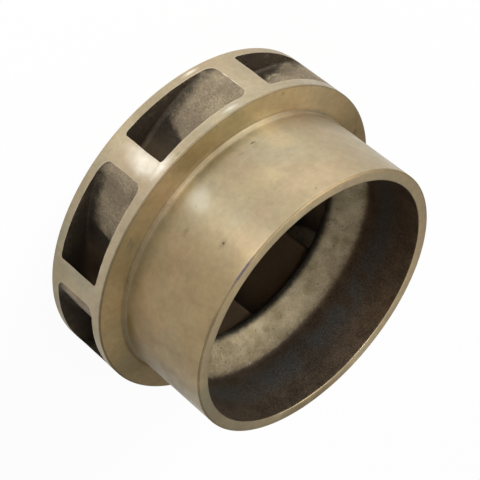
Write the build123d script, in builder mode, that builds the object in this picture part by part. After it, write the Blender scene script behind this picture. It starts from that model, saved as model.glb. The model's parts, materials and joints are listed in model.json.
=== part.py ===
from build123d import *

import os
from math import acos, atan2, cos, degrees, hypot, radians, sin

# Closed pump impeller, cast in bronze as one piece.
#
# A flat back shroud and a front shroud with a long suction collar are joined by curved vanes. The casting
# stands on its back face, with the shaft axis along +Z and the suction eye at the top. All lengths are in
# millimetres and all angles in degrees.

# Rim and shrouds
outlet_radius = 70.0  # the turned rim, where the water leaves
back_shroud = 3.7  # thickness
outlet_width = 20.3  # height of the outlet windows
front_shroud_rim = 4.3  # thickness of the front shroud at the rim
front_face_rise = 1.6  # the front face climbs this much from the rim to the collar
rim_edge_break = 0.4

# Suction collar
collar_radius = 59.7  # outside, runs in the wear ring
collar_height = 72.7  # from the back face to the end of the collar
collar_root_bevel = 2.0
collar_edge_break = 0.6
eye_bore_radius = 55.0  # as cast, at the mouth
eye_bore_draft = 0.4  # the bore is this much smaller in radius at its foot
eye_bore_depth = 27.5

# Suction throat: a blunt lip narrows the bore before the vanes
throat_radius = 43.3
throat_level = 35.8
throat_lip_bulge = 1.1
throat_land_height = 2.2  # short cylindrical land under the lip
throat_wall_step = 2.9  # the wall below the land widens by this much ...
throat_wall_drop = 4.9  # ... at this depth under the lip, level with the vane tips
shroud_turn_radius = 58.0  # outside this the front shroud's inner wall is flat

# Hub and shaft fit
hub_radius = 16.0
hub_height = 25.0
hub_top_bevel = 2.0
hub_waist_level = 11.0  # below this the hub flares out in two cones ...
hub_flare_radius = 23.0
hub_flare_level = 6.0
hub_foot_radius = 38.0  # ... and has run out into the back shroud here
shaft_bore_radius = 10.0
shaft_bore_chamfer = 1.0
keyway_width = 6.0
keyway_depth = 2.8

# Back face
back_land_width = 8.0  # ring at the rim that the casting stands on
hub_land_radius = 19.0  # turned face round the shaft bore
back_relief_depth = 0.8

# Vanes
vane_count = 8
vane_inlet_gap = 2.3  # the vanes start this far outside the throat
vane_inlet_angle = 17.0  # between the vane and the tangent
vane_outlet_angle = 18.0
vane_thickness = 3.4
vane_root_bevel = 1.6

# Levels and working clearances that follow from the sizes above
outlet_top = back_shroud + outlet_width
front_face_level = outlet_top + front_shroud_rim
collar_root_level = front_face_level + front_face_rise
eye_bore_foot = collar_height - eye_bore_depth
eye_bore_foot_radius = eye_bore_radius - eye_bore_draft
throat_land_foot = throat_level - throat_land_height
throat_wall_radius = throat_radius + throat_wall_step
throat_wall_level = throat_level - throat_wall_drop
vane_inlet_radius = throat_radius + vane_inlet_gap
core_overrun = 1.0  # cores and cutters reach this far past the metal
core_radius = outlet_radius + core_overrun
vane_tail_overrun = 25.0


# The sand core: the water passage, turned as one body of revolution ...
with BuildPart() as waterway:
    with BuildSketch(Plane.XZ):
        with BuildLine():
            hub_side = Polyline(
                (0, collar_height + core_overrun),
                (0, hub_height),
                (hub_radius - hub_top_bevel, hub_height),
                (hub_radius, hub_height - hub_top_bevel),
                (hub_radius, hub_waist_level),
                (hub_flare_radius, hub_flare_level),
                (hub_foot_radius, back_shroud),
            )
            outlet = Polyline(
                hub_side @ 1,
                (core_radius, back_shroud),
                (core_radius, outlet_top),
            )
            front_wall = Polyline(
                outlet @ 1,
                (shroud_turn_radius, outlet_top),
                (throat_wall_radius, throat_wall_level),
                (throat_radius, throat_land_foot),
                (throat_radius, throat_level),
            )
            lip_middle = Vector(throat_radius + eye_bore_foot_radius, throat_level + eye_bore_foot) / 2
            lip_run = Vector(eye_bore_foot_radius - throat_radius, eye_bore_foot - throat_level).normalized()
            Polyline(
                front_wall @ 1,
                lip_middle + Vector(-lip_run.Y, lip_run.X) * throat_lip_bulge,
                (eye_bore_foot_radius, eye_bore_foot),
                (eye_bore_radius, collar_height),
                (eye_bore_radius, collar_height + core_overrun),
                (0, collar_height + core_overrun),
            )
        make_face()
    revolve(axis=Axis.Z)

    # ... and parted by the vanes. The middle line of each vane is one circular arc, which meets the inlet
    # and outlet circles at the angles above.
    inlet_cos = cos(radians(vane_inlet_angle))
    outlet_cos = cos(radians(vane_outlet_angle))
    vane_arc_radius = (outlet_radius**2 - vane_inlet_radius**2) / (
        2 * (outlet_radius * outlet_cos - vane_inlet_radius * inlet_cos)
    )
    arc_centre = Vector(
        outlet_radius - vane_arc_radius * outlet_cos,
        -vane_arc_radius * sin(radians(vane_outlet_angle)),
    )
    nose_centre_radius = vane_inlet_radius + vane_thickness / 2
    turn_at_centre = (nose_centre_radius**2 - vane_arc_radius**2 - arc_centre.length**2) / (
        2 * vane_arc_radius * arc_centre.length
    )
    nose_angle = degrees(atan2(arc_centre.Y, arc_centre.X) + acos(turn_at_centre))
    tail_angle = vane_outlet_angle - degrees(vane_tail_overrun / vane_arc_radius)
    with BuildSketch(Plane.XY):
        with BuildLine(mode=Mode.PRIVATE):
            vane_line = CenterArc(arc_centre, vane_arc_radius, tail_angle, nose_angle - tail_angle)
        with PolarLocations(0, vane_count):
            SlotArc(vane_line, height=vane_thickness)
    extrude(amount=throat_level, mode=Mode.SUBTRACT)
    vane_roots = waterway.edges(Select.LAST).filter_by(GeomType.CIRCLE).filter_by(
        lambda edge: hypot(edge.arc_center.X, edge.arc_center.Y) > vane_thickness
    )
    chamfer(vane_roots, length=vane_root_bevel)


# The casting: the outside is one body of revolution, and the core leaves the water passages in it.
with BuildPart() as impeller:
    with BuildSketch(Plane.XZ) as outside:
        with BuildLine():
            Polyline(
                (0, 0),
                (outlet_radius, 0),
                (outlet_radius, front_face_level),
                (collar_radius, collar_root_level),
                (collar_radius, collar_height),
                (0, collar_height),
                close=True,
            )
        make_face()
        collar_root = outside.vertices().sort_by_distance((collar_radius, collar_root_level))[0]
        chamfer(collar_root, length=collar_root_bevel)
        rim_corners = outside.vertices().group_by(Axis.X)[-1]
        chamfer(rim_corners, length=rim_edge_break)
        collar_corner = outside.vertices().sort_by_distance((collar_radius, collar_height))[0]
        chamfer(collar_corner, length=collar_edge_break)
    revolve(axis=Axis.Z)
    add(waterway.part, mode=Mode.SUBTRACT)

    # The shaft bore runs right through the hub, with one keyway, and is bevelled at both ends.
    with BuildSketch(Plane.XY):
        Circle(shaft_bore_radius)
        with Locations((shaft_bore_radius, 0)):
            Rectangle(2 * keyway_depth, keyway_width)
    extrude(amount=hub_height, mode=Mode.SUBTRACT)
    for level, height in ((0, shaft_bore_chamfer), (hub_height, -shaft_bore_chamfer)):
        with BuildSketch(Plane.XY.offset(level)):
            Circle(shaft_bore_radius + shaft_bore_chamfer)
        extrude(amount=height, taper=45, mode=Mode.SUBTRACT)

    # The back face is relieved between the ring it stands on and the land round the bore.
    with BuildSketch(Plane.XY):
        Circle(outlet_radius - back_land_width)
        Circle(hub_land_radius, mode=Mode.SUBTRACT)
    extrude(amount=back_relief_depth, mode=Mode.SUBTRACT)

impeller.part.label = "impeller"
os.makedirs("parts", exist_ok=True)
export_step(impeller.part, "parts/impeller.step")
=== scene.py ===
import json

import bmesh
import bpy
import numpy as np
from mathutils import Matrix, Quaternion, Vector


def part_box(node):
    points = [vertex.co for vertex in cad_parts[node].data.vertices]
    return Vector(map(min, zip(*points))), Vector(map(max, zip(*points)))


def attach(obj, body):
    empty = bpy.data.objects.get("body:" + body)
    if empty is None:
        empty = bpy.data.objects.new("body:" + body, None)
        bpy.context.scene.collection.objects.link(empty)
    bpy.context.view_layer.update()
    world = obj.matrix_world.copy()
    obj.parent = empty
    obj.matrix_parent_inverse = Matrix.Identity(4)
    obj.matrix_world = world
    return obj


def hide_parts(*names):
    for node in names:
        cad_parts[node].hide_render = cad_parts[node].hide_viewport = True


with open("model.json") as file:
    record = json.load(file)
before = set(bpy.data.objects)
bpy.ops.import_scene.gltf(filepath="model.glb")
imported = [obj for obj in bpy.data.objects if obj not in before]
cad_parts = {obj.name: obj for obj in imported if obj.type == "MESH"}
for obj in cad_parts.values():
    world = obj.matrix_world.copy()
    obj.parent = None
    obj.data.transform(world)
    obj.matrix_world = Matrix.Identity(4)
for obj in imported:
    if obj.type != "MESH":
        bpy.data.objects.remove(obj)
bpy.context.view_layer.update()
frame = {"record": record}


# --------------------------------------------------------------------------------------------------------
# Camera. A long lens looks down into the suction eye and along the rim, and is rolled so that the shaft
# axis runs down to the right, as when the casting lies on its side.
camera_distance = 0.7192  # metres from the middle of the back face
camera_azimuth = 133.7
camera_elevation = 32.44
camera_roll = 129.0
camera_aim = Vector((-0.0019, 0.0026, 0.0305))
camera_lens = 135.0  # on a sensor 36 mm wide

camera_data = bpy.data.cameras.new("camera")
camera_data.lens = camera_lens
camera_data.sensor_width = 36.0
camera = bpy.data.objects.new("camera", camera_data)
bpy.context.scene.collection.objects.link(camera)
camera.location = camera_distance * Vector(
    (
        np.cos(np.radians(camera_elevation)) * np.cos(np.radians(camera_azimuth)),
        np.cos(np.radians(camera_elevation)) * np.sin(np.radians(camera_azimuth)),
        np.sin(np.radians(camera_elevation)),
    )
)
facing = (camera_aim - camera.location).to_track_quat("-Z", "Y")
camera.rotation_mode = "QUATERNION"
camera.rotation_quaternion = facing @ Quaternion((0, 0, 1), np.radians(camera_roll))
bpy.context.scene.camera = camera


# --------------------------------------------------------------------------------------------------------
# The vane passages. Eight curved vanes join the two shrouds. They are cast in a sand core, so their
# roots are filleted, their noses are round and their faces are a little uneven. Sizes are in millimetres.
metre = 1000.0
cad_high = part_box("impeller")[1]
rim_radius = cad_high[0] * metre
collar_end = cad_high[2] * metre
floor_level = 3.7  # inner wall of the back shroud
ceiling_level = 24.0  # inner wall of the front shroud at the rim
throat_radius = 43.3
vane_count = 8
vane_pitch = 2 * np.pi / vane_count
vane_thickness = 3.4
vane_inlet_radius = 45.6
vane_inlet_angle = np.radians(17.0)  # from the tangent
vane_outlet_angle = np.radians(18.0)
middle_lag = np.radians(9.0)  # the passage's middle line falls this far behind the vanes at the throat
turned_depth = 2.5  # turning the rim has left no unevenness on it, and less than elsewhere to this depth
# root fillets as (reach along the shroud, rise up the vane)
outer_root = np.array([1.5, 2.8])
nose_root = np.array([1.3, 1.3])
inner_root = np.array([0.6, 1.0])

# cells of the passage grid
along_side = 44
outer_tip, nose_cells, inner_tip = 4, 24, 12
across_floor, across_fillet, up_wall = 9, 5, 10
ring_cells = outer_tip + nose_cells + inner_tip
land_cells = ring_cells - 2 * (across_floor + across_fillet)

half_thickness = vane_thickness / 2
arc_radius = (rim_radius**2 - vane_inlet_radius**2) / (
    2 * (rim_radius * np.cos(vane_outlet_angle) - vane_inlet_radius * np.cos(vane_inlet_angle))
)
arc_centre = np.array(
    [rim_radius - arc_radius * np.cos(vane_outlet_angle), -arc_radius * np.sin(vane_outlet_angle)]
)


def arc_turn(radius, arc):
    """Angle about the arc's centre at which an arc of that radius is a given radius from the shaft: the
    law of cosines in the triangle of shaft axis, arc centre and point."""
    reach = np.hypot(*arc_centre)
    heading = np.arctan2(arc_centre[1], arc_centre[0])
    return heading + np.arccos((radius**2 - arc**2 - reach**2) / (2 * arc * reach))


def camber_azimuth(radius):
    """Azimuth of the vane's middle line at a radius from the shaft."""
    turn = arc_turn(radius, arc_radius)
    return np.arctan2(
        arc_centre[1] + arc_radius * np.sin(turn), arc_centre[0] + arc_radius * np.cos(turn)
    )


def vane_outline(gap):
    """Plan curve at a gap from the vane, for each column: in along the outer face as an arc of radius
    R + t/2 + gap, round the nose as half a circle of radius t/2 + gap, and out along the inner face as an
    arc of radius R - t/2 - gap. Both arcs start on the rim."""
    nose_turn = arc_turn(vane_inlet_radius + half_thickness, arc_radius)
    nose = arc_centre + arc_radius * np.array([np.cos(nose_turn), np.sin(nose_turn)])
    tip = along_side + outer_tip
    heel = tip + nose_cells
    outer = arc_radius + half_thickness + gap[:, : tip + 1]
    inner = arc_radius - half_thickness - gap[:, heel:]
    start, end = arc_turn(rim_radius, outer), arc_turn(rim_radius, inner)
    outer_turn = start + (nose_turn - start) * np.linspace(0, 1, tip + 1) ** 0.92
    inner_turn = nose_turn + (end - nose_turn) * np.linspace(0, 1, inner.shape[1])
    round_turn = nose_turn + np.linspace(0, np.pi, nose_cells + 1)[1:-1]
    ball = half_thickness + gap[:, tip + 1 : heel]
    return np.concatenate(
        [
            arc_centre + outer[..., None] * np.stack([np.cos(outer_turn), np.sin(outer_turn)], -1),
            nose + ball[..., None] * np.stack([np.cos(round_turn), np.sin(round_turn)], -1),
            arc_centre + inner[..., None] * np.stack([np.cos(inner_turn), np.sin(inner_turn)], -1),
        ],
        axis=1,
    )


def front_wall(radius):
    """Level of the front shroud's inner wall: flat near the rim, then two slopes up to the throat, each
    coming in over a soft bend s as slope * s * log(1 + exp((bend radius - radius) / s))."""
    level = np.full_like(radius, ceiling_level)
    for bend, slope, soft in ((58.0, 0.585, 1.2), (46.2, 0.346, 0.8)):
        level += slope * soft * np.log1p(np.exp((bend - radius) / soft))
    return level


def unevenness(points):
    """Slow waviness of a sand core, as a vector field in millimetres: a sum of sine waves with seeded
    directions and phases, where longer waves are higher."""
    rng = np.random.default_rng(7)
    lengths = np.array([46.0, 38.0, 30.0, 24.0, 19.0, 15.0, 11.0, 9.0, 7.5, 6.0])
    heading = rng.normal(size=(3, lengths.size))
    heading /= np.linalg.norm(heading, axis=0)
    phase = rng.uniform(0, 2 * np.pi, lengths.size)
    push = rng.normal(size=(lengths.size, 3)) * (0.014 * lengths**0.45)[:, None]
    return np.sin(points @ (heading * 2 * np.pi / lengths) + phase) @ push


# the passage's middle line and the throat ring close each vane's share of the shrouds
line_radius = np.linspace(rim_radius, throat_radius, along_side + 1)
line_azimuth = camber_azimuth(line_radius) - middle_lag * (rim_radius - line_radius) / (
    rim_radius - throat_radius
)
ring_start = line_azimuth[-1] + vane_pitch / 2
share_radius = np.concatenate(
    [line_radius, np.full(ring_cells - 1, throat_radius), line_radius[::-1]]
)
share_azimuth = np.concatenate(
    [
        line_azimuth + vane_pitch / 2,
        ring_start - vane_pitch * np.arange(1, ring_cells) / ring_cells,
        line_azimuth[::-1] - vane_pitch / 2,
    ]
)
columns = share_radius.size
root = np.concatenate(
    [
        outer_root + np.linspace(0, 1, along_side + outer_tip + 1)[:, None] * (nose_root - outer_root),
        np.tile(nose_root, (nose_cells - 1, 1)),
        nose_root + np.linspace(0, 1, along_side + inner_tip + 1)[:, None] * (inner_root - nose_root),
    ]
)
quarter = np.linspace(0, np.pi / 2, across_fillet + 1)[:, None]
fillet_plan = vane_outline((1 - np.sin(quarter)) * root[:, 0])
fillet_rise = (1 - np.cos(quarter)) * root[:, 1]
fillet_radius = np.hypot(fillet_plan[..., 0], fillet_plan[..., 1])
fillet_azimuth = np.unwrap(np.arctan2(fillet_plan[..., 1], fillet_plan[..., 0]), axis=1)
# across the floor, up the vane from fillet to fillet, and back across the ceiling
toward_vane = 1 - (1 - np.arange(across_floor)[:, None] / across_floor) ** 1.25
plan_radius = np.vstack([share_radius + (fillet_radius[0] - share_radius) * toward_vane, fillet_radius])
plan_azimuth = np.vstack(
    [share_azimuth + (fillet_azimuth[0] - share_azimuth) * toward_vane, fillet_azimuth]
)
plan_rise = np.vstack([np.zeros((across_floor, columns)), fillet_rise])
low = floor_level + plan_rise
high = front_wall(plan_radius) - plan_rise
up = np.arange(1, up_wall)[:, None] / up_wall
passage_radius = np.vstack([plan_radius, np.repeat(plan_radius[-1:], up_wall - 1, 0), plan_radius[::-1]])
passage_azimuth = np.vstack(
    [plan_azimuth, np.repeat(plan_azimuth[-1:], up_wall - 1, 0), plan_azimuth[::-1]]
)
passage_level = np.vstack([low, low[-1] + (high[-1] - low[-1]) * up, high[::-1]])


def cast_skin(radius, azimuth, level, cast=1.0):
    """Points of an as-cast surface, moved by the unevenness. On the turned rim they only slide along it,
    and where cast is 0 they don't move."""
    points = np.stack([radius * np.cos(azimuth), radius * np.sin(azimuth), level], -1)
    push = unevenness(points.reshape(-1, 3)).reshape(points.shape) * np.asarray(cast)[..., None]
    moved = points + push
    inset = np.clip((rim_radius - radius) / turned_depth, 0, 1)
    moved_radius = np.hypot(moved[..., 0], moved[..., 1])
    kept = (rim_radius + (moved_radius - rim_radius) * inset) / moved_radius
    on_rim = radius > rim_radius - turned_depth
    moved[..., :2] *= np.where(on_rim, kept, 1.0)[..., None]
    return moved


TURNED, CAST = 0, 1  # the two finishes
# (grid of points, outward side, finish, where it meets a window's edge) for every patch of the casting
patches = []
rim_edges = []  # where the outer and the inner face of each vane meet the rim
passage_edge = np.zeros_like(passage_level)
passage_edge[:, [0, -1]] = 1.0
for vane in range(vane_count):
    passage = cast_skin(passage_radius, passage_azimuth + vane * vane_pitch, passage_level)
    patches.append((passage, 1, CAST, passage_edge))
    rim_edges.append((passage[:, 0], passage[:, -1]))


# --------------------------------------------------------------------------------------------------------
# The turned rim: two narrow bands and the ends of the vanes, left between the outlet windows after the
# casting was turned to its outside diameter.
rim_low, rim_high = 0.4, 27.9  # between the broken edges
band_cells = 3


def rim_patch(low_azimuth, low_level, high_azimuth, high_level, cells):
    """Straight ruled grid on the rim between two curves given by azimuth and level."""
    share = np.linspace(0, 1, cells + 1)[:, None]
    azimuth = low_azimuth + (high_azimuth - low_azimuth) * share
    level = low_level + (high_level - low_level) * share
    return np.stack([rim_radius * np.cos(azimuth), rim_radius * np.sin(azimuth), level], -1)


def edge_course(edge, home):
    """Azimuths and levels of a window's edge, counted on from the turn that starts nearest home."""
    azimuth = np.unwrap(np.arctan2(edge[:, 1], edge[:, 0]))
    return azimuth + 2 * np.pi * np.round((home - azimuth[0]) / (2 * np.pi)), edge[:, 2]


def across_land(left, right):
    """Values along a band: up one window's edge, evenly over the land and down the next window's edge."""
    return np.concatenate([left, left[-1] + (right[-1] - left[-1]) * land_share, right[::-1]])


across_window = across_floor + across_fillet
land_share = np.linspace(0, 1, land_cells + 1)[1:-1]
land_edge = np.zeros((land_cells + 1, up_wall + 1))
land_edge[[0, -1]] = 1.0
band_edge = np.zeros((band_cells + 1, ring_cells + 1))
band_edge[-1, : across_window + 1] = 1.0
band_edge[-1, -across_window - 1 :] = 1.0
window_rows = passage_azimuth[: across_window + 1]
rim_azimuth = across_land(window_rows[:, -1], window_rows[:, 0])
for vane, (outer_edge, inner_edge) in enumerate(rim_edges):
    turn = vane * vane_pitch
    home = rim_azimuth[0] + turn
    left_azimuth, left_level = edge_course(inner_edge, home)
    right_azimuth, right_level = edge_course(outer_edge, home + vane_pitch)
    # the land, from the inner face's edge to the outer face's
    rows = slice(across_window, across_window + up_wall + 1)
    land = rim_patch(
        left_azimuth[rows], left_level[rows], right_azimuth[rows], right_level[rows], land_cells
    )
    patches.append((land, -1, TURNED, land_edge))
    # the bands under and over the windows
    for rows, edge_level, side in (
        (slice(0, across_window + 1), rim_low, 1),
        (slice(-across_window - 1, None), rim_high, -1),
    ):
        window_azimuth = across_land(left_azimuth[rows][::side], right_azimuth[rows][::side])
        window_level = across_land(left_level[rows][::side], right_level[rows][::side])
        band_level = np.full_like(window_level, edge_level)
        band = rim_patch(rim_azimuth + turn, band_level, window_azimuth, window_level, band_cells)
        patches.append((band, side, TURNED, band_edge))


# --------------------------------------------------------------------------------------------------------
# The turned outside and the suction eye. The front face, the collar and its end are turned; the bore, the
# lip and the throat are as cast. All are one outline carried round the shaft axis.
def outline(corners, step):
    """Points along a profile of (radius, level, blend): each corner is replaced by a parabola that touches
    both legs at the blend length, and the legs are divided evenly at about one step."""
    corners = np.array(corners, dtype=float)
    points, legs = corners[:, :2], np.diff(corners[:, :2], axis=0)
    legs /= np.linalg.norm(legs, axis=1)[:, None]
    run = [points[:1]]
    for i in range(1, len(points)):
        last = i == len(points) - 1
        blend = 0.0 if last else corners[i, 2]
        start, end = run[-1][-1], points[i] - legs[i - 1] * blend
        cells = max(1, int(round(np.linalg.norm(end - start) / step)))
        run.append(start + (end - start) * np.linspace(0, 1, cells + 1)[1:, None])
        if blend > 0:
            cells = max(3, int(round(2 * blend / step)))
            u = np.linspace(0, 1, cells + 1)[1:, None]
            after = points[i] + legs[i] * blend
            run.append((1 - u) ** 2 * end + 2 * u * (1 - u) * points[i] + u**2 * after)
    return np.concatenate(run)


def rings(profile, azimuths, reach=None):
    """Radii, azimuths and levels of a profile carried round the axis, where each ring has its own
    azimuths, and its own radii too where its reach is given."""
    radius, level = (np.repeat(side, azimuths.shape[1], 1) for side in (profile[:, :1], profile[:, 1:]))
    return radius if reach is None else reach, azimuths, level


def all_round(azimuth):
    """One vane's ring azimuths, repeated round the casting and closed."""
    turns = np.arange(vane_count)[:, None] * vane_pitch
    ring = (azimuth[None, :-1] + turns).ravel()
    return np.append(ring, ring[0] + 2 * np.pi)


rim_ring = all_round(rim_azimuth)
ring_step = vane_pitch / ring_cells
ring_shift = int(np.round((ring_start - rim_ring[0]) / ring_step))
eye_ring = ring_start + ring_step * (np.arange(rim_ring.size) - ring_shift)

collar_radius = frame["record"]["mounts"][1]["dims"]["r_mm"]
bore_radius = 55.0
turned_end = collar_end - 0.5  # the tool that faced the collar's end reached this far into the bore
throat_foot = front_wall(np.array([throat_radius]))[0]
# (radius, level, blend) from the throat over the lip, up the bore and down the outside to the rim
eye_corners = [
    (throat_radius, throat_foot, 0.0),
    (throat_radius, 35.9, 1.6),  # top of the throat
    (48.0, 41.3, 3.4),  # bulge of the lip
    (54.6, 45.3, 1.8),  # foot of the bore
    (bore_radius, collar_end, 0.4),
    (collar_radius, collar_end, 0.6),
    (collar_radius, 29.9, 1.7),  # root of the collar
    (rim_radius, 28.3, 0.4),
    (rim_radius, rim_high, 0.0),
]
eye_profile = outline(eye_corners, 1.1)
eye_reach, eye_level = eye_profile.T
eye_cast = np.clip((bore_radius + 0.1 - eye_reach) / 0.2, 0, 1)
eye_cast *= np.clip((turned_end - eye_level) / 2.0, 0, 1)
# on the front face the columns move over to those of the rim
on_face = np.clip((eye_reach - 61.0) / 8.0, 0, 1) * (eye_level < 30)
eye_azimuths = eye_ring + (rim_ring - eye_ring) * on_face[:, None]
eye = cast_skin(*rings(eye_profile, eye_azimuths), eye_cast[:, None] * np.ones_like(eye_azimuths))
turned_from = int(np.argmax(eye_level > turned_end))
no_window = np.zeros(eye.shape[:2])
patches.append((eye[: turned_from + 1], -1, CAST, no_window[: turned_from + 1]))
patches.append((eye[turned_from:], -1, TURNED, no_window[turned_from:]))


# --------------------------------------------------------------------------------------------------------
# The hub and the back. The hub flares into the back shroud as cast; its end, the shaft bore with its
# keyway, and the two lands of the back face are machined.
shaft_radius = frame["record"]["mounts"][0]["dims"]["r_mm"]
key_half_width = 3.0
key_floor = 12.8  # from the shaft axis
hub_radius = 16.0
hub_height = 25.0
chamfer = 1.0  # at both ends of the shaft bore
hub_land, rim_land = 19.0, 62.0  # the back face is relieved from one radius to the other ...
relief = 0.8  # ... by this much ...
relief_slope = 0.5  # ... with sides this wide


def keyed(radius, azimuth):
    """Radius of a round hole with one keyway: the larger of the hole's radius and the keyway's outline,
    which is the nearer of its floor and its side walls along each ray."""
    ahead = np.maximum(np.cos(azimuth), 1e-6)
    aside = np.maximum(np.abs(np.sin(azimuth)), 1e-6)
    slot = np.where(np.cos(azimuth) > 0, np.minimum(key_floor / ahead, key_half_width / aside), 0)
    return np.maximum(radius, slot)


# (radius, level, blend) from the throat over the hub, down the shaft bore and out under the back face
hub_corners = [
    (throat_radius, floor_level, 0.0),
    (37.0, floor_level, 3.0),  # foot of the flare
    (23.5, 5.6, 5.5),  # middle of the flare
    (hub_radius, 11.0, 3.5),  # waist of the hub
    (hub_radius, hub_height, 1.8),
    (shaft_radius + chamfer, hub_height, 0.0),
    (shaft_radius, hub_height - chamfer, 0.0),
    (shaft_radius, chamfer, 0.0),
    (shaft_radius + chamfer, 0.0, 0.0),
    (hub_land, 0.0, 0.0),
    (hub_land + relief_slope, relief, 0.0),
    (rim_land - relief_slope, relief, 0.0),
    (rim_land, 0.0, 0.0),
    (rim_radius - rim_low, 0.0, 0.0),
    (rim_radius, rim_low, 0.0),
]
hub_profile = outline(hub_corners, 2.0)
hub_reach, hub_level = hub_profile.T
hub_index = np.arange(hub_reach.size)
hub_top = int(np.argmax(hub_level > hub_height - 0.1))
back_start = int(np.argmax((hub_level < 0.01) & (hub_reach > shaft_radius + chamfer - 0.1)))
# columns fall on the keyway's corners in the bore
straight_ring = ring_step * (np.arange(rim_ring.size) - ring_shift + np.round(ring_start / ring_step))
key_corner = np.degrees(np.arctan2(key_half_width, key_floor))
key_mouth = np.degrees(np.arcsin(key_half_width / shaft_radius))
column_at = np.array([-180, -24, -18, -13.5, 13.5, 18, 24, 180.0])
moved_to = np.array([-180, -24, -key_mouth, -key_corner, key_corner, key_mouth, 24, 180.0])
whole_turns = 360 * np.round(np.degrees(straight_ring) / 360)
part_turns = np.degrees(straight_ring) - whole_turns
key_ring = np.radians(whole_turns + np.interp(part_turns, column_at, moved_to))
to_key = np.clip(hub_index / hub_top, 0, 1)
to_rim = np.clip((hub_reach - 20.0) / 40.0, 0, 1) * (hub_index > back_start)
hub_azimuths = eye_ring + (key_ring - eye_ring) * to_key[:, None]
hub_azimuths = hub_azimuths + (rim_ring - hub_azimuths) * to_rim[:, None]
in_bore = hub_reach < shaft_radius + chamfer + 0.1
keyed_reach = np.where(in_bore[:, None], keyed(hub_profile[:, :1], hub_azimuths), hub_profile[:, :1])
hub_cast = np.clip((hub_top - 2 - hub_index) / 4, 0, 1)[:, None] * np.ones_like(hub_azimuths)
hub = cast_skin(*rings(hub_profile, hub_azimuths, keyed_reach), hub_cast)
no_window = np.zeros(hub.shape[:2])
patches.append((hub[: hub_top + 1], 1, CAST, no_window[: hub_top + 1]))
patches.append((hub[hub_top:], 1, TURNED, no_window[hub_top:]))


# --------------------------------------------------------------------------------------------------------
# The casting. It left the mould as one piece and nothing is fixed to it, so its patches are joined into
# one closed skin. Edges sharper than 28 degrees stay sharp. The windows' edges are marked on it, because
# turning the rim has raised a burr along them.
faces, finishes, points, edges = [], [], [], []
first = 0  # number of the next patch's first point
for grid, side, finish, window_edge in patches:
    rows, cells = grid.shape[0] - 1, grid.shape[1] - 1
    corner = first + np.arange(rows)[:, None] * (cells + 1) + np.arange(cells)
    quads = np.stack([corner, corner + 1, corner + cells + 2, corner + cells + 1], -1).reshape(-1, 4)
    faces.append(quads[:, ::side])
    finishes.append(np.full(len(quads), finish))
    points.append(grid.reshape(-1, 3))
    edges.append(window_edge.ravel())
    first += grid.shape[0] * grid.shape[1]
skin = bpy.data.meshes.new("impeller_casting")
skin.from_pydata(np.concatenate(points) / metre, [], np.concatenate(faces).tolist())
skin.polygons.foreach_set("material_index", np.concatenate(finishes).astype(np.int32))
edge_mark = skin.attributes.new("window_edge", "FLOAT", "POINT")
edge_mark.data.foreach_set("value", np.concatenate(edges).astype(np.float32))
sheet = bmesh.new()
sheet.from_mesh(skin)
bmesh.ops.remove_doubles(sheet, verts=sheet.verts, dist=2e-6)
sheet.to_mesh(skin)
sheet.free()
skin.shade_smooth()
skin.set_sharp_from_angle(angle=np.radians(28.0))
casting = bpy.data.objects.new("impeller_casting", skin)
bpy.context.scene.collection.objects.link(casting)
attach(casting, "root")
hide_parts("impeller")


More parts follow.
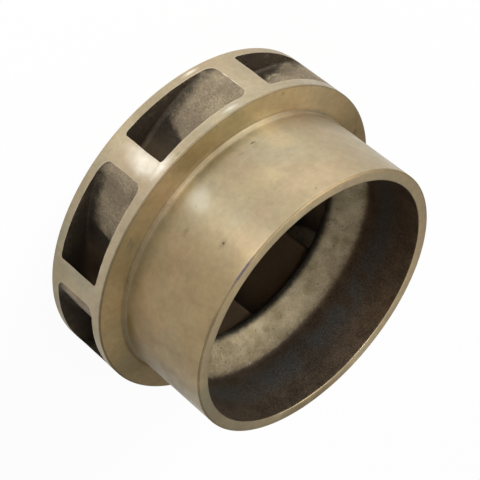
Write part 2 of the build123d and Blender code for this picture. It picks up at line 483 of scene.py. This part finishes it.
# --------------------------------------------------------------------------------------------------------
# The finishes. Both are the same bronze: one turned bright on a lathe and since tarnished in clouds, the
# other as it left the sand, pale where it was blasted and dark brown where scale and dirt have stayed.
# Painted light and painted shade are laid over both.
# Patterns are laid out in millimetres from the shaft axis.
class Bench:
    """The nodes of one finish. Each method lays a node, or a short chain of them, and returns its output.
    A share is a value between 0 and 1 that says how far something shows at each place."""

    def __init__(self, name):
        self.material = bpy.data.materials.new(name)
        self.material.use_nodes = True
        self.nodes, self.links = self.material.node_tree.nodes, self.material.node_tree.links
        self.shader = self.nodes["Principled BSDF"]
        place = self.nodes.new("ShaderNodeTexCoord").outputs["Object"]
        self.place = self.vector("SCALE", place, Scale=metre)
        split = self.nodes.new("ShaderNodeSeparateXYZ")
        self.links.new(self.place, split.inputs[0])
        self.level = split.outputs["Z"]
        flat = self.vector("MULTIPLY", self.place, (1, 1, 0))
        self.radius = self.vector("LENGTH", flat, output="Value")

    def feed(self, socket, source):
        """Links an output to a socket, or writes a plain value into it."""
        if isinstance(source, bpy.types.NodeSocket):
            self.links.new(source, socket)
        elif isinstance(source, tuple) and len(source) == 3 and socket.type == "RGBA":
            socket.default_value = (*source, 1)
        else:
            socket.default_value = source

    def vector(self, operation, *sources, output="Vector", **named):
        """One step of vector arithmetic."""
        node = self.nodes.new("ShaderNodeVectorMath")
        node.operation = operation
        for socket, source in zip(node.inputs, sources):
            self.feed(socket, source)
        for name, source in named.items():
            self.feed(node.inputs[name], source)
        return node.outputs[output]

    def math(self, operation, *sources):
        """One step of arithmetic."""
        node = self.nodes.new("ShaderNodeMath")
        node.operation = operation
        for socket, source in zip(node.inputs, sources):
            self.feed(socket, source)
        return node.outputs[0]

    def rise(self, value, start, end, low=0.0, high=1.0):
        """Goes smoothly from low to high while the value goes from start to end."""
        node = self.nodes.new("ShaderNodeMapRange")
        node.interpolation_type = "SMOOTHSTEP"
        for socket, source in zip(node.inputs, (value, start, end, low, high)):
            self.feed(socket, source)
        return node.outputs[0]

    def fall(self, value, start, end):
        """Goes smoothly from 1 to 0 while the value goes from start to end."""
        return self.rise(value, start, end, 1.0, 0.0)

    def band(self, value, start, full, fade, end):
        """Share that rises to 1 from start to full, and is gone again from fade to end."""
        return self.times(self.rise(value, start, full), self.fall(value, fade, end))

    def times(self, first, *others):
        """Product of several shares."""
        for other in others:
            first = self.math("MULTIPLY", first, other)
        return first

    def most(self, first, *others):
        """The largest of several shares."""
        for other in others:
            first = self.math("MAXIMUM", first, other)
        return first

    def toward(self, direction):
        """How far a place lies from the shaft axis in a direction."""
        return self.vector("DOT_PRODUCT", self.place, direction, output="Value")

    def clouds(self, size, detail=3.0, shift=(0, 0, 0), coarse=0.5):
        """Noise between 0 and 1 whose largest patches are about so many millimetres wide."""
        node = self.nodes.new("ShaderNodeTexNoise")
        self.links.new(self.vector("ADD", self.place, shift), node.inputs["Vector"])
        node.inputs["Scale"].default_value = 1 / size
        node.inputs["Detail"].default_value = detail
        node.inputs["Roughness"].default_value = coarse
        return node.outputs["Fac"]

    def lines(self, value, spacing):
        """Noise along one measure only, as the marks of a lathe tool."""
        node = self.nodes.new("ShaderNodeTexNoise")
        node.noise_dimensions = "1D"
        self.links.new(value, node.inputs["W"])
        node.inputs["Scale"].default_value = 1 / spacing
        node.inputs["Detail"].default_value = 2.0
        return node.outputs["Fac"]

    def paint(self, share, under, over, blend="MIX"):
        """Lays one colour over another, by a share."""
        node = self.nodes.new("ShaderNodeMix")
        node.data_type = "RGBA"
        node.blend_type = blend
        for number, source in zip((0, 6, 7), (share, under, over)):
            self.feed(node.inputs[number], source)
        return node.outputs[2]

    def tint(self, share, under, shade):
        """Multiplies a colour by a shade, by a share."""
        return self.paint(share, under, shade, "MULTIPLY")

    def spot(self, azimuth, radius, level, across, along, ragged=0.0, soft=0.5):
        """A mark on the surface, 1 in its middle: the distance from its centre, counted in its half widths
        across and along the turning, with some noise added."""
        turn = np.radians(azimuth)
        node = self.nodes.new("ShaderNodeMapping")
        node.vector_type = "TEXTURE"
        self.links.new(self.place, node.inputs["Vector"])
        node.inputs["Location"].default_value = (radius * np.cos(turn), radius * np.sin(turn), level)
        node.inputs["Rotation"].default_value = (0, 0, turn)
        node.inputs["Scale"].default_value = (across, along, across)
        off = self.vector("LENGTH", node.outputs[0], output="Value")
        if ragged:
            waver = self.math("SUBTRACT", self.clouds(min(across, along), 4.0), 0.5)
            off = self.math("ADD", off, self.math("MULTIPLY", waver, ragged))
        return self.rise(off, soft, 1.0, 1.0, 0.0)

    def spots(self, *marks):
        """Several spots as one share."""
        return self.most(*(self.spot(*mark) for mark in marks))

    def relief(self, height, distance, strength=1.0, under=None):
        """Bump, with its height given in millimetres."""
        node = self.nodes.new("ShaderNodeBump")
        node.inputs["Distance"].default_value = distance / metre
        node.inputs["Strength"].default_value = strength
        self.links.new(height, node.inputs["Height"])
        if under is not None:
            self.links.new(under, node.inputs["Normal"])
        return node.outputs[0]


turned = Bench("turned_bronze")
colour = (0.482, 0.388, 0.24)
# olive, rosy and golden tarnish, in clouds of so many millimetres
for size, shift, start, end, strength, tarnish in (
    (34.0, (0, 0, 0), 0.44, 0.66, 0.75, (0.415, 0.362, 0.245)),
    (27.0, (40, 0, 9), 0.46, 0.68, 0.7, (0.488, 0.37, 0.232)),
    (17.0, (0, 70, 0), 0.53, 0.68, 0.7, (0.535, 0.432, 0.26)),
):
    tarnished = turned.rise(turned.clouds(size, 3.0, shift), start, end, 0.0, strength)
    colour = turned.paint(tarnished, colour, tarnish)
speckle = turned.rise(turned.clouds(2.6, 6.0, (7, 7, 7), 0.7), 0.3, 0.72, 0.92, 1.06)
colour = turned.tint(1.0, colour, speckle)
# turning marks, which show more in some bands than in others
feed_run = turned.math("SUBTRACT", turned.level, turned.radius)
tool_marks = turned.lines(feed_run, 0.55)
fine_marks = turned.lines(feed_run, 0.16)
marked = turned.rise(turned.clouds(14.0, 2.0, (0, 0, 31)), 0.35, 0.65, 0.35, 1.0)
colour = turned.tint(marked, colour, turned.rise(tool_marks, 0.25, 0.75, 0.95, 1.04))
# the front face is browner than the collar, partly its own tone and partly painted shade for the darker
# surroundings it reflects
face = turned.times(
    turned.band(turned.radius, 59.9, 60.7, 69.3, 69.8), turned.rise(turned.level, 27.6, 28.2)
)
colour = turned.tint(face, colour, (0.92, 0.85, 0.7))
# painted shade on one side of the face, and painted light on two others
for azimuth, across, shade in (
    (112.0, 13.0, (0.64, 0.635, 0.58)),
    (60.0, 14.0, (1.5, 1.52, 1.6)),
    (192.0, 14.0, (1.42, 1.44, 1.42)),
):
    painted_face_light = turned.times(turned.spot(azimuth, 65.0, 28.8, across, 34.0, 0.5, 0.3), face)
    colour = turned.tint(painted_face_light, colour, shade)
# the rim is turned smoothest and is a little paler, with painted highlights on it in streaks and patches
rim = turned.times(turned.rise(turned.radius, 69.7, 69.95), turned.rise(turned.level, 0.1, 0.5))
colour = turned.tint(rim, colour, (1.03, 1.06, 1.14))
painted_rim_highlights = turned.times(
    turned.spots(
        (133.4, 70.0, 17.5, 13.5, 6.6, 1.0, 0.0),
        (131.5, 70.0, 25.2, 2.6, 8.5, 0.6, 0.0),
        (103.4, 70.0, 26.0, 1.3, 4.8, 0.4, 0.1),
        (101.8, 70.0, 1.6, 1.0, 5.5, 0.4, 0.1),
    ),
    turned.rise(turned.clouds(5.0, 4.0, (2, 0, 6)), 0.3, 0.6, 0.6, 1.0),
)
colour = turned.paint(painted_rim_highlights, colour, (0.84, 0.78, 0.66))
# a pale, hazy painted highlight on the collar
painted_collar_highlight = turned.spot(132.6, 59.7, 39.6, 7.0, 7.0, 1.4, 0.0)
colour = turned.paint(turned.times(painted_collar_highlight, 0.6), colour, (0.6, 0.57, 0.46))
# the fillet at the collar's foot is a little duller, with a painted olive shade above it on one side, for
# the dark face reflected there
west = turned.toward((-0.87, 0.5, 0))
painted_foot_shade = turned.times(
    turned.band(turned.level, 31.2, 32.2, 32.6, 38.0),
    turned.fall(turned.radius, 60.6, 61.2),
    turned.rise(west, 26.0, 48.0),
    turned.rise(turned.clouds(13.0, 3.0, (3, 0, 50)), 0.3, 0.65, 0.35, 1.0),
)
colour = turned.tint(painted_foot_shade, colour, (0.7, 0.68, 0.54))
# painted shade in the corner at the collar's root
painted_crease_shade = turned.times(turned.fall(turned.radius, 60.4, 61.2), turned.fall(turned.level, 30.6, 31.4))
colour = turned.tint(painted_crease_shade, colour, (0.86, 0.84, 0.82))
# the broken edges of the rim, on one side, and of the collar's end are duller, and painted darker as
# painted shade over their highlights
rim_edge = turned.times(
    turned.rise(turned.radius, 69.2, 69.5),
    turned.rise(turned.level, 27.75, 27.9),
    turned.rise(west, -5.0, 35.0),
)
mouth_edge = turned.times(
    turned.rise(turned.radius, 58.9, 59.2), turned.rise(turned.level, 71.9, 72.15)
)
colour = turned.tint(rim_edge, colour, (0.74, 0.72, 0.68))
colour = turned.tint(mouth_edge, colour, (0.82, 0.8, 0.76))
# bright metal on the burr round the windows, with a painted highlight along it, most of it beside one of
# them
window = turned.nodes.new("ShaderNodeAttribute")
window.attribute_name = "window_edge"
burr_and_glint = turned.times(
    turned.rise(window.outputs["Fac"], 0.4, 0.85),
    turned.math("MULTIPLY_ADD", turned.spot(92.6, 70.0, 14.0, 12.0, 5.0), 0.75, 0.22),
    turned.rise(turned.clouds(6.0, 4.0, (0, 9, 0)), 0.4, 0.55),
)
colour = turned.paint(burr_and_glint, colour, (0.85, 0.77, 0.6))
# painted shade darkens one side of the collar
painted_shade_spot = turned.times(
    turned.spot(218.0, 57.0, 50.0, 30.0, 46.0, 0.5, 0.1),
    turned.fall(turned.radius, 61.0, 61.6),
    turned.fall(turned.level, 71.6, 72.3),
)
colour = turned.tint(painted_shade_spot, colour, (0.62, 0.61, 0.58))
painted_side_shade = turned.times(
    turned.rise(turned.toward((-0.99, 0.14, 0)), 42.0, 59.0),
    turned.fall(turned.radius, 60.0, 60.6),
    turned.band(turned.level, 32.5, 37.0, 71.6, 72.3),
)
colour = turned.tint(painted_side_shade, colour, (0.86, 0.79, 0.68))
# its end is painted lighter on two sides and darker at one spot, as painted light and shade
end_face = turned.rise(turned.level, 72.3, 72.6)
for painted_end_light, shade in (
    (turned.rise(turned.toward((0.94, 0.34, 0)), -20.0, 50.0), (1.38, 1.36, 1.3)),
    (turned.rise(west, 20.0, 50.0), (1.24, 1.22, 1.16)),
    (turned.spot(280.0, 57.4, 72.7, 7.0, 28.0, 0.3, 0.1), (0.7, 0.67, 0.6)),
):
    colour = turned.tint(turned.times(end_face, painted_end_light), colour, shade)
# stains, one patch of painted shade among them, freckles, and pits of which one has a dirty halo: each
# mark is given by its azimuth, radius and level, its half widths across and along the turning, and how
# ragged and how soft it is
stains_and_shade = turned.spots(
    (172.0, 61.0, 30.6, 1.3, 4.2, 1.6, 0.1),
    (156.7, 65.5, 29.0, 1.5, 3.0, 1.6, 0.1),
    (140.0, 60.8, 31.0, 1.2, 3.2, 1.6, 0.1),
    (54.0, 60.6, 30.6, 0.9, 1.8, 1.2, 0.1),
    (102.0, 59.7, 38.4, 1.6, 3.4, 1.6, 0.0),
    (157.8, 64.0, 29.2, 2.2, 4.5, 1.6, 0.0),
    (138.8, 60.2, 31.6, 1.6, 2.6, 1.6, 0.0),
    (110.4, 68.6, 28.5, 0.8, 1.0, 0.8, 0.1),
    (109.0, 59.7, 38.2, 1.2, 2.2, 1.4, 0.0),
    (143.0, 59.7, 43.6, 1.6, 2.6, 1.6, 0.0),
    (125.3, 70.0, 26.7, 0.9, 1.8, 1.2, 0.0),
    (164.0, 59.5, 71.9, 0.9, 10.0, 1.0, 0.0),
    (82.9, 67.9, 28.6, 1.6, 1.6, 1.4, 0.0),
    (29.5, 64.8, 29.1, 2.0, 3.0, 1.4, 0.0),
    # painted shade near the collar's darker side, not a stain
    (215.0, 59.7, 44.0, 5.0, 7.0, 1.8, 0.0),
)
halo = turned.spot(137.9, 59.7, 59.2, 2.0, 3.0, 0.9, 0.1)
freckles = turned.times(
    turned.rise(turned.clouds(1.5, 3.0, (6, 0, 2), 0.6), 0.6, 0.7),
    turned.rise(turned.clouds(13.0, 2.0, (0, 4, 4)), 0.5, 0.62),
)
pit = turned.spots(
    (137.9, 59.7, 59.2, 0.75, 0.85, 0.4, 0.2),
    (102.7, 59.7, 36.9, 0.8, 1.6, 1.1, 0.1),
    (101.6, 59.7, 69.2, 0.35, 0.45, 0.3),
    (57.0, 59.7, 30.6, 0.7, 1.5, 1.0, 0.1),
)
colour = turned.paint(turned.times(stains_and_shade, 0.55), colour, (0.24, 0.21, 0.12))
colour = turned.paint(turned.times(halo, 0.7), colour, (0.27, 0.22, 0.13))
colour = turned.paint(turned.times(freckles, 0.25), colour, (0.26, 0.22, 0.12))
colour = turned.paint(turned.times(pit, 0.8), colour, (0.12, 0.085, 0.04))
# a streak of violet marking ink beside the collar's end
ink = turned.spot(141.2, 59.4, 72.3, 0.8, 10.0, 0.6, 0.2)
colour = turned.paint(turned.times(ink, 0.85), colour, (0.17, 0.14, 0.2))
turned.feed(turned.shader.inputs["Base Color"], colour)
roughness = turned.rise(turned.clouds(9.0, 5.0, (1, 2, 3)), 0.3, 0.7, 0.33, 0.46)
for more in (
    turned.rise(tool_marks, 0.2, 0.8, -0.03, 0.03),
    turned.times(stains_and_shade, 0.15),
    turned.times(turned.band(turned.level, 29.5, 30.0, 31.2, 33.0), 0.2),
    turned.times(face, 0.2),
    turned.times(turned.math("MAXIMUM", rim_edge, mouth_edge), 0.35),
):
    roughness = turned.math("ADD", roughness, more)
turned.feed(turned.shader.inputs["Roughness"], roughness)
turned.shader.inputs["Metallic"].default_value = 1.0
turned.shader.inputs["Anisotropic"].default_value = 0.7
turned.shader.inputs["Anisotropic Rotation"].default_value = 0.25  # light spreads across the marks
around = turned.vector("CROSS_PRODUCT", (0, 0, 1), turned.place)
turned.feed(turned.shader.inputs["Tangent"], turned.vector("NORMALIZE", around))
groove = turned.math("ADD", turned.times(tool_marks, 0.6), turned.times(fine_marks, 0.4))
normal = turned.relief(groove, 0.01, 0.5)
normal = turned.relief(turned.clouds(7.0, 5.0, (9, 1, 4)), 0.06, 0.5, normal)
normal = turned.relief(turned.math("SUBTRACT", 1.0, pit), 0.08, 0.8, normal)
turned.feed(turned.shader.inputs["Normal"], normal)

cast = Bench("cast_bronze")
grain = cast.clouds(0.75, 5.0, (2, 5, 1), 0.7)
blotch = cast.clouds(9.0, 5.0, (30, 2, 8), 0.6)
patchy = cast.rise(blotch, 0.35, 0.65)
waver = cast.math("SUBTRACT", cast.clouds(2.2, 5.0, (5, 5, 0), 0.7), 0.5)
ragged = cast.times(waver, 2.6)
edge_level = cast.math("ADD", cast.level, ragged)
edge_radius = cast.math("ADD", cast.radius, ragged)
# painted shade lies on the floor of each passage, ever higher up the vanes further inside, and wholly over
# them from 8 mm inside the rim
inside_rim = cast.math("SUBTRACT", rim_radius, cast.radius)
deep = cast.math("MAXIMUM", cast.math("SUBTRACT", inside_rim, 8.0), 0.0)
shadow_clouds = cast.math("SUBTRACT", cast.clouds(5.5, 6.0, (1, 7, 1), 0.7), 0.5)
shadow_level = cast.math("MULTIPLY_ADD", inside_rim, 0.2, 5.2)
for share, rise in (
    (cast.times(deep, deep), 2.2),
    (cast.spot(75.0, 61.5, 8.0, 7.0, 7.0, 0.8, 0.0), 6.0),
    (cast.spot(59.0, 66.0, 6.5, 5.0, 6.0, 0.8, 0.0), -6.0),
    (shadow_clouds, 9.0),
):
    shadow_level = cast.math("MULTIPLY_ADD", share, rise, shadow_level)
in_shadow = cast.rise(cast.math("SUBTRACT", shadow_level, edge_level), -3.8, 2.6, 0.0, 0.92)
# the painted shade is darkest on the floor and in the corner just above it
shadow_colour = cast.paint(
    cast.fall(cast.level, 3.7, 4.3), (0.03, 0.0225, 0.0155), (0.05, 0.036, 0.024)
)
shadow_colour = cast.tint(cast.band(cast.level, 3.8, 4.6, 5.6, 7.4), shadow_colour, (0.6, 0.6, 0.6))
vane_face = cast.paint(patchy, (0.23, 0.18, 0.122), (0.33, 0.268, 0.178))
vane_face = cast.paint(in_shadow, vane_face, shadow_colour)
# the bore is brown, with a bluish band, and one side of it is painted paler as painted light
brown = cast.paint(cast.rise(blotch, 0.35, 0.7), (0.05, 0.035, 0.022), (0.078, 0.056, 0.036))
bluish = cast.times(cast.band(cast.level, 47.5, 53.0, 56.0, 66.0), cast.rise(blotch, 0.3, 0.55))
brown = cast.paint(bluish, brown, (0.05, 0.047, 0.042))
brown = cast.tint(cast.rise(cast.toward((1, 0, 0)), 20.0, 52.0), brown, (1.75, 1.6, 1.45))
# from the passages up to the mouth: painted shade, throat wall, pale lip, brown bore
wall = cast.paint(patchy, (0.045, 0.04, 0.03), (0.075, 0.068, 0.052))
sand = cast.paint(patchy, (0.3, 0.24, 0.145), (0.4, 0.33, 0.21))
above = cast.times(cast.rise(edge_level, 27.0, 31.0), cast.fall(edge_radius, 52.0, 56.5))
lip = cast.times(cast.rise(edge_level, 34.2, 36.8), cast.fall(cast.radius, 55.5, 56.5))
bore = cast.rise(edge_level, 43.4, 46.0)
inside = cast.paint(above, vane_face, wall)
inside = cast.paint(lip, inside, sand)
inside = cast.paint(bore, inside, brown)
# dark pits and grit, on the lip and on one vane
pale = cast.math("SUBTRACT", lip, bore)
pits = cast.rise(cast.clouds(1.5, 3.0, (11, 3, 2), 0.6), 0.64, 0.71)
pitted = cast.most(cast.times(pale, 0.85), cast.spot(114.0, 62.0, 17.0, 6.0, 5.0, 1.0, 0.1))
gritty = cast.times(
    cast.spot(115.5, 61.5, 16.5, 6.5, 5.5, 1.4, 0.0), cast.rise(grain, 0.52, 0.6)
)
darker_lip_patches = cast.most(
    cast.spots((-64.0, 46.7, 39.6, 3.5, 4.5, 1.0, 0.1), (-112.0, 49.0, 42.0, 7.0, 10.0, 1.4, 0.0)),
    cast.rise(cast.clouds(7.0, 4.0, (8, 1, 3)), 0.5, 0.68),
)
inside = cast.paint(cast.times(pits, pitted), inside, (0.05, 0.04, 0.028))
inside = cast.paint(cast.times(gritty, 0.8), inside, (0.06, 0.045, 0.035))
# the lip is darker in patches
inside = cast.tint(cast.times(pale, darker_lip_patches), inside, (0.78, 0.77, 0.7))
grit = cast.rise(grain, 0.27, 0.73, 0.62, 1.38)
inside = cast.tint(cast.math("MULTIPLY_ADD", pale, -0.35, 1.0), inside, grit)
# the throat has a thin brown film, seen behind the lip, painted paler as painted light where little light
# reaches
film_and_light = cast.times(cast.fall(cast.radius, 54.0, 60.0), cast.fall(cast.level, 28.5, 31.0))
inside = cast.paint(film_and_light, inside, (0.2, 0.142, 0.085))
# one vane is dustier than the others, and has a crooked scratch
dusty = cast.spot(57.0, 66.5, 9.0, 10.0, 13.0, 0.6, 0.2)
inside = cast.tint(dusty, inside, (0.72, 0.71, 0.68))
wander = cast.math("MULTIPLY_ADD", cast.clouds(3.0, 3.0, (0, 3, 0)), 5.0, cast.level)
off_line = cast.math("ABSOLUTE", cast.math("SUBTRACT", wander, 11.1))
scratch = cast.times(cast.fall(off_line, 0.12, 0.5), cast.spot(67.2, 62.6, 8.5, 3.5, 5.0, 0.3, 0.6))
inside = cast.paint(cast.times(scratch, 0.85), inside, (0.42, 0.36, 0.24))
cast.feed(cast.shader.inputs["Base Color"], inside)
cast.feed(cast.shader.inputs["Roughness"], cast.rise(grain, 0.3, 0.7, 0.5, 0.68))
cast.shader.inputs["Metallic"].default_value = 0.75
rough_skin = cast.relief(cast.clouds(3.5, 5.0, (4, 4, 4), 0.6), 0.3, 0.6)
cast.feed(cast.shader.inputs["Normal"], cast.relief(grain, 0.16, 0.8, rough_skin))

skin.materials.append(turned.material)
skin.materials.append(cast.material)


# --------------------------------------------------------------------------------------------------------
# The stage. The casting stands on a sheet of paper under a pale dome, and two soft lamps light it: a wide
# one from the side and a small one from the front. The paper looks white, but it throws only a little of
# that white onto the metal.
floor_reach = 6.0  # metres
floor_drop = 2e-4  # metres under the back face, so that the two don't share a plane
paper_white = 0.94  # share of pure white in the paper, as it is seen directly ...
paper_gleam = 0.15  # ... and in reflections
floor_corners = [
    (x * floor_reach, y * floor_reach, -floor_drop) for x, y in ((-1, -1), (1, -1), (1, 1), (-1, 1))
]
floor_data = bpy.data.meshes.new("floor")
floor_data.from_pydata(floor_corners, [], [(0, 1, 2, 3)])
floor = bpy.data.objects.new("floor", floor_data)
bpy.context.scene.collection.objects.link(floor)
paper = Bench("paper")
paper.feed(paper.shader.inputs["Base Color"], (0.82, 0.82, 0.82))
paper.feed(paper.shader.inputs["Roughness"], 1.0)
glow = paper.nodes.new("ShaderNodeEmission")
paper.feed(glow.inputs["Color"], (1, 1, 1))
rays = paper.nodes.new("ShaderNodeLightPath").outputs
gleam = paper.math("MULTIPLY", rays["Is Glossy Ray"], paper_gleam)
straight = paper.math("ADD", rays["Is Camera Ray"], rays["Is Transmission Ray"])
lit = paper.nodes.new("ShaderNodeMixShader")
whitened = paper.math("MULTIPLY_ADD", straight, paper_white, gleam)
for socket, source in zip(lit.inputs, (whitened, paper.shader.outputs[0], glow.outputs[0])):
    paper.feed(socket, source)
paper.feed(paper.nodes["Material Output"].inputs["Surface"], lit.outputs[0])
floor_data.materials.append(paper.material)

world = bpy.data.worlds.new("studio")
world.use_nodes = True
bpy.context.scene.world = world
nodes, links = world.node_tree.nodes, world.node_tree.links
sky = nodes["Background"]
sky.inputs["Color"].default_value = (1, 1, 1, 1)
heading = nodes.new("ShaderNodeVectorMath")  # the dome is brightest overhead, and dimmer toward its foot
heading.operation = "DOT_PRODUCT"
heading.inputs[1].default_value = (-0.05, 0.3, 0.95)
links.new(nodes.new("ShaderNodeTexCoord").outputs["Generated"], heading.inputs[0])
dome = nodes.new("ShaderNodeMapRange")
dome.inputs["To Min"].default_value = 0.2
dome.inputs["To Max"].default_value = 0.95
links.new(heading.outputs["Value"], dome.inputs["Value"])
links.new(dome.outputs[0], sky.inputs["Strength"])


def softbox(name, azimuth, elevation, distance, size, power):
    """Square lamp on a sphere round the casting, turned to face it."""
    lamp = bpy.data.lights.new(name, "AREA")
    lamp.size = size
    lamp.energy = power
    holder = bpy.data.objects.new(name, lamp)
    bpy.context.scene.collection.objects.link(holder)
    turn, lift = np.radians(azimuth), np.radians(elevation)
    out = Vector((np.cos(lift) * np.cos(turn), np.cos(lift) * np.sin(turn), np.sin(lift)))
    holder.location = camera_aim + distance * out
    holder.rotation_mode = "QUATERNION"
    holder.rotation_quaternion = (-out).to_track_quat("-Z", "Y")


softbox("side", 66.0, 28.0, 1.3, 0.9, 13.5)
softbox("front", 130.0, 12.0, 1.5, 0.35, 6.9)

bpy.context.scene.view_settings.view_transform = "Standard"
